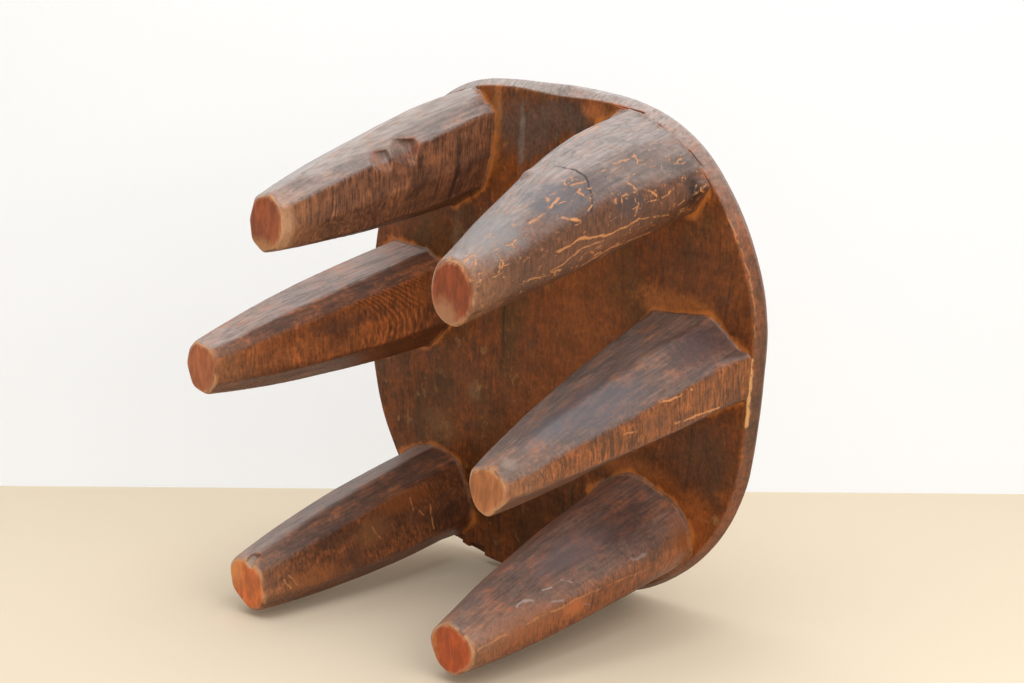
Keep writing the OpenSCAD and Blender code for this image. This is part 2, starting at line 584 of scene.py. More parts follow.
def facet_finish(leg, node):
    """Stores each facet's finish at its points: how grey it is, partly from weathering and partly as painted
    sheen, and how far it has darkened.
    """
    levels, middles, outlines = sections(node)
    corners = (outlines[:, 0::2] + outlines[:, 1::2]) / 2
    turns = np.unwrap(bearing(corners), axis=0)
    halfway = corners[len(levels) // 2]
    side = np.roll(halfway, -1, 0) - halfway
    facing = np.degrees(np.arctan2(-side[:, 0], side[:, 1]))
    finish = np.zeros((len(facing), 2))
    for towards, grey_and_sheen, dark in FACETS[node]:
        finish[np.argmin(np.abs((facing - towards + 180) % 360 - 180))] = grey_and_sheen, dark
    points = places(leg)
    chance = np.random.default_rng(7)
    ragged = 0
    for gap, swing in RAGGED_BORDERS:
        knots = np.arange(0, 250 * MM, gap)
        ragged = ragged + np.interp(points[:, 2], knots, chance.normal(0, swing, len(knots)))
    turn = bearing(off_axis(points, levels, middles)[1]) + ragged
    past = [(turn - np.interp(points[:, 2], levels, corner)) % math.tau for corner in turns.T]
    web = Web(leg)
    for name, shares in zip(("grey_and_sheen", "dark"), finish[np.argmin(past, 0)].T):
        for _ in range(SOFTNESS.get(node, 1)):
            shares = web.around(shares)
        put_mask(leg, name, shares)


def root_seam(leg):
    """Stores where a root spreads on to the seat's underside, whose finish it shares."""
    points = places(leg)
    level = np.clip((points[:, 2] - SEAT_LOW) / (3 * MM) + 2, 0, 1)
    level *= smoothstep(inset(points) / (3 * MM) - 0.5)
    put_mask(leg, "seam", level * smoothstep(-normals(leg)[:, 2] / 0.4 - 0.6))


def level_normals(leg):
    """The outward directions across the leg, smoothed over its corners."""
    web = Web(leg)
    out = normals(leg) * (1, 1, 0)
    for _ in range(12):
        out = web.around(out)
    return out / np.maximum(np.linalg.norm(out, axis=1), 0.001)[:, None]


def flare_root(leg, fillet):
    """Spreads the root over a small fillet, and keeps it inside the seat's edge."""
    points = places(leg)
    share = np.clip((points[:, 2] - SEAT_LOW) / fillet + 1, 0, 1)
    spread = points + level_normals(leg) * (fillet * (1 - np.sqrt(1 - share**2)))[:, None]
    most = np.maximum(edge_radius(spread) - 0.4 * MM, radius(points))
    spread[:, :2] *= np.minimum(1, most / radius(spread))[:, None]
    put_places(leg, spread)


def meet_edge(leg):
    """Draws the outer side of a root out to the seat's edge, which it runs into without a step."""
    points = places(leg)
    radii, turn = radius(points), np.degrees(bearing(points)) % 360
    at_root = np.abs(points[:, 2] - SEAT_LOW) < MM
    least = np.full(361, 1.0)
    np.minimum.at(least, turn[at_root].round().astype(int), inset(points)[at_root])
    wanted = np.interp(turn, np.arange(361), least)
    outer = smoothstep((level_normals(leg) * points).sum(1) / radii / 0.5 - 0.2)
    push = np.maximum(wanted - 0.3 * MM, 0) * smoothstep((7 * MM - wanted) / (3.5 * MM))
    push *= outer * smoothstep((points[:, 2] - SEAT_LOW) / (24 * MM) + 1)
    points[:, :2] *= (1 + push / radii)[:, None]
    put_places(leg, points)


def ends_of(leg):
    """The middles of a leg's foot and of its root."""
    points = places(leg)
    foot = points[points[:, 2] < 3 * MM].mean(0)
    return foot, points[points[:, 2] > SEAT_LOW - 3 * MM].mean(0)


def hewn(leg, carving):
    """Long adze strokes down a leg, and the relief of its worn grain."""
    foot, root = ends_of(leg)
    guide = bpy.data.objects.new("stroke_guide", None)
    bpy.context.scene.collection.objects.link(guide)
    guide.rotation_euler = Vector(root - foot).normalized().to_track_quat("Z", "Y").to_euler()
    guide.scale = (1, 1, 5)
    bpy.context.view_layer.update()
    off_sole = weigh(leg, "off_sole", places(leg)[:, 2] / (6 * MM))
    finish_with(
        leg, "DISPLACE", texture=clouds("strokes", carving.hewing_width), texture_coords="OBJECT",
        texture_coords_object=guide, strength=carving.hewing_depth, mid_level=0.5, vertex_group=off_sole
    )
    finish_with(
        leg, "DISPLACE", texture=clouds("relief", 3 * MM, 2), texture_coords="LOCAL",
        strength=carving.relief_depth, mid_level=0.5, vertex_group=off_sole
    )
    bpy.data.objects.remove(guide)


class STOOL_OT_legs(bpy.types.Operator):
    """Hews the six legs"""

    bl_idname = "stool.legs"
    bl_label = "Legs"

    def execute(self, context):
        carving = context.scene.stool_carving
        for node in LEG_NODES:
            leg = merged_copy(node, node + "_hewn")
            run_into_seat(leg, carving.root_sink)
            cut(leg, node)
            finish_with(leg, "REMESH", mode="VOXEL", voxel_size=carving.leg_mesh)
            finish_with(leg, "SMOOTH", factor=0.5, iterations=1)
            round_sections(leg, node)
            flare_root(leg, carving.root_fillet * FILLETS[node])
            meet_edge(leg)
            leave_lumps(leg, node)
            hewn(leg, carving)
            keep_in_box(leg)
            below_root = np.clip((SEAT_LOW - places(leg)[:, 2]) / (4 * MM) - 1, 0, 1)
            worn_edges(leg, 8, below_root)
            weathered_and_sheened(leg, 2)
            facet_finish(leg, node)
            root_seam(leg)
            foot, root = ends_of(leg)
            middle = (foot + root) / 2 / MM
            lean = (foot - root) / (root - foot)[2] * (1, 1, 0)
            dress(leg, stool_wood(node, context.scene.stool_wood, tuple(middle), tuple(lean)))
            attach(leg, "root")
            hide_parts(node)
        return {"FINISHED"}


# Seat


def quads_only(seat):
    """Takes out the diagonals between the seat's rings, which leaves it in quads."""
    points = places(seat)
    low = points[(points[:, 2] < SEAT_LOW + SAME) & (radius(points) > 100 * MM)]
    count = len(low)
    turns = np.round(bearing(low) / (math.tau / count)) * math.tau / count
    across = np.stack([np.sin(turns), -np.cos(turns)], 1)
    middle = np.linalg.lstsq(across, (low[:, :2] * across).sum(1), rcond=None)[0]
    off = points[:, :2] - middle
    column = np.round(bearing(off) / (math.tau / count)).astype(int) % count
    inward = np.where(points[:, 2] < WIDEST_Z + SAME, points[:, 2] - 10, -radius(off))
    ring = np.empty(len(points), int)
    for turn in range(count):
        members = np.nonzero(column == turn)[0]
        ring[members[np.argsort(inward[members])]] = np.arange(len(members))

    def diagonal(edge):
        first, second = (v.index for v in edge.verts)
        return column[first] != column[second] and ring[first] != ring[second]

    pick(seat, "EDGE", diagonal)
    bpy.ops.mesh.dissolve_edges(use_verts=False)
    bpy.ops.object.mode_set(mode="OBJECT")


def ringed_face(seat, height, rings):
    """Swaps a flat face of the seat for rings that close on its middle."""
    pick(seat, "FACE", lambda face: abs(face.calc_center_median().z - height) < SAME)
    bpy.ops.mesh.delete(type="FACE")
    pick(seat, "EDGE", lambda edge: edge.is_boundary)
    before = 1
    for ring in range(1, rings):
        share = 1 - ring / rings
        bpy.ops.mesh.extrude_region_move()
        step = share / before
        bpy.ops.transform.resize(value=(step, step, 1), center_override=(0, 0, height))
        before = share
    bpy.ops.mesh.extrude_region_move()
    bpy.ops.mesh.merge(type="CENTER")
    bpy.ops.object.mode_set(mode="OBJECT")


def on_ring(edge, height):
    """True for an edge that runs round the rim at a height."""
    ends = np.array([tuple(v.co) for v in edge.verts])
    return abs(ends[:, 2] - height).max() < SAME and inset(ends).max() < 3 * MM


def lean_side(seat):
    """Leans the seat's side out a little more at the back, as far as the frame's box leaves room."""
    # How far it leans, and the direction and the width of the stretch that leans, in degrees
    most, middle, spread = 2.4 * MM, 94, 10
    points = places(seat)
    radii = np.maximum(radius(points), MM)
    share = smoothstep((points[:, 2] - SEAT_LOW) / (WIDEST_Z - SEAT_LOW))
    share *= smoothstep((radii / MM - 140) / 30)
    push = most * share * np.exp(-(((np.degrees(bearing(points)) - middle) / spread) ** 2))
    push = np.minimum(push, np.maximum(CAD_BOX[1][1] - 0.3 * MM - points[:, 1], 0))
    points[:, :2] *= (1 + push / radii)[:, None]
    put_places(seat, points)


def off_legs(seat):
    """How far each of the seat's points is from the outline of a leg's root, and less than nought inside."""
    points = places(seat)
    nearest = np.full(len(points), 1.0)
    for node in LEG_NODES:
        root = places(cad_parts[node])
        root = root[root[:, 2] > SEAT_LOW - SAME]
        ring = root[np.argsort(bearing(root - root.mean(0)))]
        inside = np.ones(len(points), bool)
        for start, end in zip(ring, np.roll(ring, -1, 0)):
            along, off = end - start, points - start
            inside &= along[0] * off[:, 1] - along[1] * off[:, 0] > -1e-9
            share = np.clip(off @ along / max(along @ along, 1e-12), 0, 1)
            nearest = np.minimum(nearest, np.linalg.norm(off - share[:, None] * along, axis=1))
        nearest[inside] = -MM
    return nearest


def under_share(points):
    """One under the seat and on its side, fading to a third on the polished top."""
    height = (points[:, 2] - SEAT_LOW) / (SEAT_HIGH - SEAT_LOW)
    return 1 - 0.67 * np.clip(height * 2 - 0.6, 0, 1)


def seat_masks(seat, gaps):
    """Stores how grey the seat's side is, partly from weathering and partly as painted sheen where it faces
    the light, and how near a root its underside is.
    """
    points = places(seat)
    side = np.clip((points[:, 2] - SEAT_LOW) / MM - 0.5, 0, 1)
    side = np.maximum(side, np.clip(2 - gaps / (2 * MM), 0, 1) * np.clip(2 - inset(points) / MM, 0, 1))
    facing = normals(seat) @ np.array(WEATHER_AND_SHEEN_SIDE)
    put_mask(seat, "grey_and_sheen", side * np.clip(facing * 1.25 - 0.25, 0.08, 1))
    under = (1 - side) * np.clip(inset(points) / (1.5 * MM) - 0.5, 0, 1)
    put_mask(seat, "near_leg", under * np.clip(1 - gaps / (16 * MM), 0, 1))


class STOOL_OT_seat(bpy.types.Operator):
    """Cuts the seat"""

    bl_idname = "stool.seat"
    bl_label = "Seat"

    def execute(self, context):
        carving = context.scene.stool_carving
        seat = merged_copy("seat", "seat_hewn")
        points = places(seat)
        dish = points[(radius(points) < 30 * MM) & (points[:, 2] > SEAT_LOW + MM)]
        quads_only(seat)
        ringed_face(seat, SEAT_LOW, 16)
        ringed_face(seat, dish[:, 2].min(), 3)
        pick(seat, "EDGE", lambda edge: on_ring(edge, SEAT_LOW) or on_ring(edge, WIDEST_Z))
        bpy.ops.mesh.bevel(offset=0.9 * MM, segments=2, profile=0.5)
        bpy.ops.object.mode_set(mode="OBJECT")
        finish_with(seat, "SUBSURF", levels=2, render_levels=2)
        lean_side(seat)
        clear_of_legs = np.clip(off_legs(seat) / (14 * MM) - 0.4, 0, 1)
        finish_with(
            seat, "DISPLACE", texture=clouds("hollows", 45 * MM), texture_coords="LOCAL",
            strength=carving.hollow_depth, mid_level=0.5,
            vertex_group=weigh(seat, "under", under_share(places(seat)) * clear_of_legs)
        )
        finish_with(
            seat, "DISPLACE", texture=clouds("seat relief", 4 * MM, 2), texture_coords="LOCAL",
            strength=carving.relief_depth, mid_level=0.5
        )
        cut(seat, "seat")
        keep_in_box(seat)
        gaps = off_legs(seat)
        worn_edges(seat, 4, np.clip(gaps / (8 * MM), 0, 1))
        weathered_and_sheened(seat, 1)
        seat_masks(seat, gaps)
        dress(seat, stool_wood("seat", context.scene.stool_wood, (0, 0, 0), (0, 0, 0)))
        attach(seat, "root")
        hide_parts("seat")
        return {"FINISHED"}


# Wood


class Shader:
    """The nodes of a material or of a world. Most methods add a node and give its output."""

    def __init__(self, holder):
        holder.use_nodes = True
        self.holder = holder
        self.nodes = holder.node_tree.nodes
        self.links = holder.node_tree.links
        self.nodes.clear()

    def node(self, kind, settings=(), inputs=()):
        """Any node, with its settings, and with a value or an output for each socket named or counted."""
        made = self.nodes.new("ShaderNode" + kind)
        for name, value in dict(settings).items():
            setattr(made, name, value)
        for name, value in dict(inputs).items():
            socket = made.inputs[name]
            if isinstance(value, bpy.types.NodeSocket):
                self.links.new(value, socket)
            else:
                socket.default_value = (*value, 1) if socket.type == "RGBA" else value
        return made

    def maths(self, operation, *values, clamp=False):
        """A sum of single numbers."""
        settings = {"operation": operation, "use_clamp": clamp}
        return self.node("Math", settings, enumerate(values)).outputs[0]

    def times(self, first, second, clamp=False):
        """Two numbers multiplied."""
        return self.maths("MULTIPLY", first, second, clamp=clamp)

    def scaled(self, value, gain, shift, clamp=False):
        """A number times a gain, plus a shift."""
        return self.maths("MULTIPLY_ADD", value, gain, shift, clamp=clamp)

    def between(self, share, first, second):
        """A number that goes from the first to the second as the share rises."""
        return self.scaled(share, self.maths("SUBTRACT", second, first), first)

    def fade(self, value, low, high):
        """Nought below low and one above high, and smooth between."""
        sockets = {"Value": value, "From Min": low, "From Max": high}
        return self.node("MapRange", {"interpolation_type": "SMOOTHSTEP"}, sockets).outputs[0]

    def vector(self, operation, *values):
        """A sum of places or directions."""
        made = self.node("VectorMath", {"operation": operation}, enumerate(values))
        return made.outputs["Value" if operation in ("LENGTH", "DOT_PRODUCT") else "Vector"]

    def cloud(self, at, size, detail, roughness):
        """A noise node with features of a size in millimetres, at a place in millimetres."""
        sockets = {"Vector": at, "Scale": 1 / size, "Detail": detail, "Roughness": roughness}
        return self.node("TexNoise", {}, sockets)

    def noise(self, at, size, detail, roughness, squeeze=None):
        """A number from a noise, whose features grow along an axis as its squeeze falls below one."""
        if squeeze:
            at = self.vector("MULTIPLY", at, squeeze)
        return self.cloud(at, size, detail, roughness).outputs["Fac"]

    def strayed(self, at, size, reach, detail, roughness=0.5):
        """A place that noise has moved, by up to half the reach each way."""
        swing = self.cloud(at, size, detail, roughness).outputs["Color"]
        swing = self.vector("SUBTRACT", swing, (0.5, 0.5, 0.5))
        return self.vector("ADD", at, self.vector("MULTIPLY", swing, (reach, reach, reach)))

    def mix(self, share, first, second):
        """A colour that goes from the first to the second as the share rises."""
        # The share is socket 0, the two colours are sockets 6 and 7, and the colour made is output 2
        settings = {"data_type": "RGBA", "clamp_factor": True}
        return self.node("Mix", settings, {0: share, 6: first, 7: second}).outputs[2]

    def mask(self, name):
        """What put_mask stored under a name, or nought where it stored nothing."""
        return self.node("Attribute", {"attribute_name": name}).outputs["Fac"]

    def surface(self, shader):
        """The material, with a shader on its surface."""
        self.node("OutputMaterial", {}, {"Surface": shader.outputs[0]})
        return self.holder


# How the finish of each piece differs. Shares, from 0 to 1: how strong its streaks are (figure), dark
# patina, grey bloom, which is partly weathering and partly painted sheen, how far the orange has worn
# through on its edges (rub), how plain its growth rings show, how much orange shows between the streaks,
# and the net of cracks in its skin. Then how far its rings bow, how strongly it reflects (gloss), the tint
# of its wood, the colour of its sole, and the pale patches on that, each given as a stain is.
USUAL_LOOK = {"bloom_and_sheen": 1, "rings": 0, "cracks": 0, "gloss": 0.45, "worn_sole": []}
OWN_LOOKS = {
    "seat": {
        "figure": 0.35, "patina": 0.45, "rub": 0.12, "orange": 0.4, "bow": 0, "gloss": 0.25,
        "tint": (1.03, 0.8, 0.5),
    },
    "leg_back_right": {
        "figure": 0.9, "patina": 0.35, "rub": 0.3, "orange": 0.6, "bow": 0.006,
        "tint": (1, 1.18, 1.75), "sole": (0.36, 0.086, 0.028),
        "worn_sole": [((68, 99, 0), (22, 7, 10), (0.58, 0.3, 0.12), 0.55)],
    },
    "leg_back_left": {
        "figure": 0.6, "patina": 0.85, "rub": 0.6, "orange": 0.3, "bow": 0.004, "bloom_and_sheen": 0.6, "cracks": 1,
        "tint": (0.8, 0.85, 1.1), "sole": (0.325, 0.064, 0.016),
        "worn_sole": [((-84, 93, 0), (12, 14, 10), (0.5, 0.27, 0.14), 0.6)],
    },
    "leg_mid_right": {
        "figure": 0.55, "patina": 0.3, "rub": 0.3, "orange": 0.6, "bow": 0.03, "rings": 1,
        "tint": (1.4, 1.2, 1), "sole": (0.47, 0.134, 0.047),
    },
    "leg_mid_left": {
        "figure": 1, "patina": 0.5, "rub": 0.9, "orange": 0.6, "bow": 0.005,
        "tint": (1.05, 0.95, 0.8), "sole": (0.46, 0.157, 0.048),
    },
    "leg_front_right": {
        "figure": 1, "patina": 0.5, "rub": 0.3, "orange": 0.7, "bow": 0.01, "rings": 0.3,
        "tint": (1.1, 1, 0.9), "sole": (0.7, 0.165, 0.03),
        "worn_sole": [((106, -134, 0), (12, 16, 10), (0.72, 0.36, 0.11), 0.4)],
    },
    "leg_front_left": {
        "figure": 0.9, "patina": 0.55, "rub": 0.4, "orange": 0.5, "bow": 0.008,
        "tint": (1.2, 0.95, 0.66), "sole": (0.486, 0.08, 0.01),
        "worn_sole": [((-78, -126, 0), (7, 20, 10), (0.66, 0.3, 0.08), 0.5)],
    },
}
LOOKS = {node: {**USUAL_LOOK, **own} for node, own in OWN_LOOKS.items()}

# Stains: where, how far each way, in millimetres, the colour and its strength. Some are painted sheen, and
# one is painted shade, as their comments say.
STAINS_AND_PAINTED_LIGHT = {
    "leg_back_right": [
        ((53, 119, 158), (12, 26, 3.2), (0.02, 0.018, 0.018), 0.85),
        ((50, 122, 120), (12, 8, 12), (0.03, 0.02, 0.015), 0.5),
        ((52, 112, 5), (12, 22, 6), (0.55, 0.3, 0.17), 0.8),
        ((50, 146, 84), (8, 7, 8), (0.33, 0.1, 0.04), 0.65),
        ((50, 148, 116), (10, 8, 5), (0.3, 0.09, 0.04), 0.7),
        ((51, 142, 103), (8, 8, 8), (0.07, 0.034, 0.026), 0.6),
    ],
    "leg_back_left": [
        ((-105, 153, 74), (22, 12, 26), (0.085, 0.082, 0.095), 0.7),
        ((-106, 158, 100), (14, 12, 20), (0.06, 0.05, 0.055), 0.6),
        ((-104, 162, 150), (20, 14, 30), (0.085, 0.06, 0.052), 0.5),
        ((-117, 122, 100), (10, 14, 60), (0.24, 0.08, 0.03), 0.25),
        ((-112, 145, 120), (18, 14, 16), (0.07, 0.055, 0.055), 0.6),
        ((-113, 154, 180), (9, 14, 16), (0.05, 0.036, 0.03), 0.7),
        # Painted shade: a black spot for the dark hollow where the root's end meets the seat's rim
        ((-123, 142, 182), (6, 12, 7), (0.014, 0.011, 0.01), 0.9),
        ((-90, 140, 24), (26, 16, 26), (0.2, 0.19, 0.19), 0.65),
    ],
    "leg_mid_right": [
        ((85, -2, 178), (10, 26, 14), (0.04, 0.02, 0.012), 0.5),
        ((105, 14, 110), (14, 8, 40), (0.06, 0.035, 0.03), 0.45),
    ],
    "leg_mid_left": [
        # Painted sheen: a bluish reflection of the sky on the broad facet
        ((-134, 30, 78), (19, 14, 56), (0.084, 0.081, 0.098), 0.6),
        ((-92, 34, 115), (10, 8, 60), (0.07, 0.05, 0.035), 0.65),
        # Painted sheen: the same bluish reflection, nearer the foot
        ((-127, 24, 40), (12, 8, 26), (0.1, 0.098, 0.115), 0.5),
        ((-127, 13, 10), (6, 5, 5), (0.34, 0.26, 0.2), 0.35),
        ((-143, 46, 172), (20, 18, 34), (0.06, 0.028, 0.026), 0.8),
    ],
    "leg_front_right": [
        ((82, -132, 120), (30, 12, 70), (0.075, 0.035, 0.025), 0.35),
        ((90, -129, 2), (8, 7, 7), (0.5, 0.33, 0.22), 0.6),
        ((72, -121, 132), (10, 8, 30), (0.3, 0.09, 0.022), 0.6),
        ((62, -142, 168), (12, 12, 24), (0.03, 0.017, 0.011), 0.7),
        ((69, -132, 98), (10, 12, 18), (0.26, 0.11, 0.04), 0.55),
        ((73, -128, 62), (10, 7, 26), (0.04, 0.022, 0.015), 0.6),
        ((70, -147, 42), (10, 8, 24), (0.33, 0.11, 0.03), 0.55),
    ],
    "leg_front_left": [
        # Painted sheen: a mauve-blue reflection of the sky, in a band along the leg
        ((-105, -86, 100), (13, 9, 60), (0.17, 0.135, 0.145), 0.55),
        ((-100, -90, 150), (40, 20, 34), (0.06, 0.028, 0.024), 0.6),
        ((-132, -100, 186), (16, 26, 12), (0.34, 0.11, 0.035), 0.4),
        ((-120, -108, 40), (18, 14, 40), (0.36, 0.12, 0.04), 0.4),
        ((-124, -111, 83), (6, 7, 12), (0.5, 0.14, 0.035), 0.75),
    ],
    "seat": [
        ((104, 30, 194), (26, 60, 12), (0.1, 0.046, 0.012), 0.6),
        ((96, -60, 194), (20, 30, 12), (0.085, 0.04, 0.01), 0.5),
        ((84, 62, 194), (6, 26, 10), (0.2, 0.13, 0.07), 0.5),
        ((64, -52, 194), (7, 9, 10), (0.28, 0.15, 0.07), 0.5),
        ((96, -92, 194), (16, 18, 10), (0.26, 0.13, 0.05), 0.6),
        ((28, 150, 194), (30, 24, 10), (0.11, 0.074, 0.058), 0.8),
        ((-4, 164, 194), (32, 15, 10), (0.105, 0.07, 0.054), 0.75),
        ((50, 150, 194), (5, 36, 6), (0.4, 0.16, 0.05), 0.65),
        ((27, 146, 194), (3, 26, 6), (0.24, 0.2, 0.17), 0.55),
        ((-33, 173, 194), (11, 7, 5), (0.45, 0.15, 0.05), 0.6),
        ((-30, 40, 194), (46, 60, 12), (0.3, 0.085, 0.02), 0.45),
        ((-126, 60, 194), (40, 60, 12), (0.12, 0.05, 0.028), 0.4),
        ((-136, -40, 194), (34, 40, 12), (0.1, 0.055, 0.036), 0.6),
        ((-106, 58, 194), (36, 12, 6), (0.5, 0.16, 0.04), 0.7),
        ((-134, -88, 194), (20, 26, 8), (0.42, 0.12, 0.03), 0.6),
        ((-80, -66, 194), (36, 10, 6), (0.4, 0.12, 0.03), 0.5),
        ((-60, 179, 195), (15, 3, 1.4), (0.4, 0.12, 0.05), 0.7),
        ((-151, -80, 194), (3.5, 3.5, 6), (0.5, 0.3, 0.14), 0.5),
        ((-168, 10, 202), (14, 75, 7), (0.085, 0.055, 0.04), 0.65),
        ((10, -120, 194), (70, 40, 12), (0.05, 0.024, 0.01), 0.5),
    ],
}

# Lines: the colour, the width and the strength, then the places that each runs through
BARE = (0.6, 0.25, 0.085)
PALE = (0.62, 0.34, 0.14)
DUST = (0.4, 0.355, 0.32)
SCUFF = (0.42, 0.36, 0.34)
CRACK = (0.02, 0.014, 0.012)
MARKS = {
    "leg_back_left": [
        (BARE, 1.3, 0.6, (-90, 148, 46), (-101, 156, 74), (-105, 160, 96)),
        (BARE, 1.2, 0.7, (-104, 144, 49), (-105, 149, 64), (-104, 154, 73)),
        (BARE, 1.5, 0.85, (-110, 145, 66), (-117, 142, 79)),
        (
            BARE, 1.2, 0.8, (-115, 127, 61), (-118, 132, 79), (-120, 130, 98), (-121, 131, 115),
            (-122, 134, 129),
        ),
        (BARE, 0.9, 0.65, (-122, 134, 129), (-122, 130, 159)),
        (
            BARE, 0.9, 0.7, (-111, 114, 36), (-113, 114, 56), (-116, 120, 69), (-118, 126, 81),
            (-120, 127, 98),
        ),
        (BARE, 1.2, 0.8, (-119, 151, 114), (-120, 151, 137), (-121, 145, 146)),
        (BARE, 0.9, 0.7, (-119, 152, 114), (-121, 138, 112)),
        (BARE, 0.9, 0.7, (-120, 151, 125), (-121, 139, 127)),
        (BARE, 1.1, 0.55, (-80, 168, 92), (-73, 173, 118), (-69, 177, 153)),
        (BARE, 1, 0.55, (-102, 164, 126), (-102, 165, 149)),
        (BARE, 1, 0.7, (-114, 112, 85), (-117, 119, 106), (-117, 120, 147)),
        (CRACK, 1.2, 0.9, (-74, 166, 90), (-94, 166, 96), (-104, 162, 98), (-112, 154, 95), (-118, 146, 88)),
    ],
    "leg_back_right": [
        (DUST, 10, 0.6, (64, 144, 35), (64, 153, 78), (66, 163, 134), (68, 167, 167), (70, 170, 188)),
    ],
    "leg_front_left": [
        (SCUFF, 1.2, 0.6, (-111, -99, 41), (-111.5, -96.5, 46), (-114, -97.5, 53)),
        (SCUFF, 1, 0.65, (-113, -94, 63), (-115, -95, 70)),
        (SCUFF, 0.8, 0.5, (-115, -93, 79), (-120, -97, 89)),
        (SCUFF, 1, 0.4, (-120, -101.5, 65), (-122, -103, 74)),
        (SCUFF, 0.8, 0.3, (-124.5, -110, 89), (-125.5, -113.5, 97)),
        (SCUFF, 1.6, 0.35, (-127, -95.5, 132), (-129, -97, 150)),
        (BARE, 1, 0.5, (-113, -112, 4), (-119, -108, 38), (-122, -106.5, 60), (-125, -105, 90)),
        (BARE, 1, 0.45, (-125, -105, 90), (-128, -106, 127), (-129, -109, 163)),
    ],
    "leg_mid_left": [
        (BARE, 1, 0.8, (-153, 28, 113), (-157, 28, 129), (-159, 30, 145)),
        (BARE, 0.9, 0.8, (-159, 12, 129), (-163, 12, 158), (-164, 12, 169)),
        (BARE, 0.8, 0.6, (-150, 15, 81), (-153, 16, 94)),
    ],
    "leg_front_right": [
        (BARE, 1, 0.75, (73, -121, 138), (70, -130, 139)),
        (BARE, 1, 0.8, (69, -131, 155), (63, -148, 153)),
        (BARE, 0.9, 0.7, (70, -130, 143), (67, -137, 147)),
        (BARE, 1, 0.6, (71, -130, 98), (67.5, -139, 103)),
        (BARE, 0.9, 0.7, (73.5, -140, 22), (70.5, -147, 26)),
        (BARE, 0.9, 0.7, (73.5, -141, 17), (71, -148, 21)),
    ],
    "seat": [
        (PALE, 2.2, 1, (-168, 37, 194), (-168, 17, 194.5), (-168, -7, 195.5)),
        (
            BARE, 1, 0.45, (-142, 125, 194.5), (-152, 110, 195.5), (-160, 91, 196), (-165, 74, 196.5),
            (-168, 53, 196),
        ),
    ],
}


# The seat's own colours
DARK_CLOUD = (0.1, 0.052, 0.017)
WARM_CLOUD = (0.25, 0.075, 0.017)
DARK_BAND = (0.045, 0.022, 0.009)
PALE_FLECK = (0.3, 0.155, 0.055)

# Wood laid bare: towards a foot, on the seat round a root, in the corner beside the root, and on the root
BARE_FOOT = (0.36, 0.17, 0.085)
NEAR_ROOT = (0.33, 0.11, 0.027)
CORNER = (0.6, 0.19, 0.04)
BARE_ROOT = (0.36, 0.12, 0.03)

# The dark and the light of the seat's underside, which a root spreads on to
SEAM_DARK = (0.1, 0.042, 0.018)
SEAM_LIGHT = (0.36, 0.13, 0.035)

# A mark wider than this is a broad band, and not a scratch
BAND_WIDTH = 6


def shaded(colour, share):
    """A colour made darker or lighter."""
    return [part * share for part in colour]


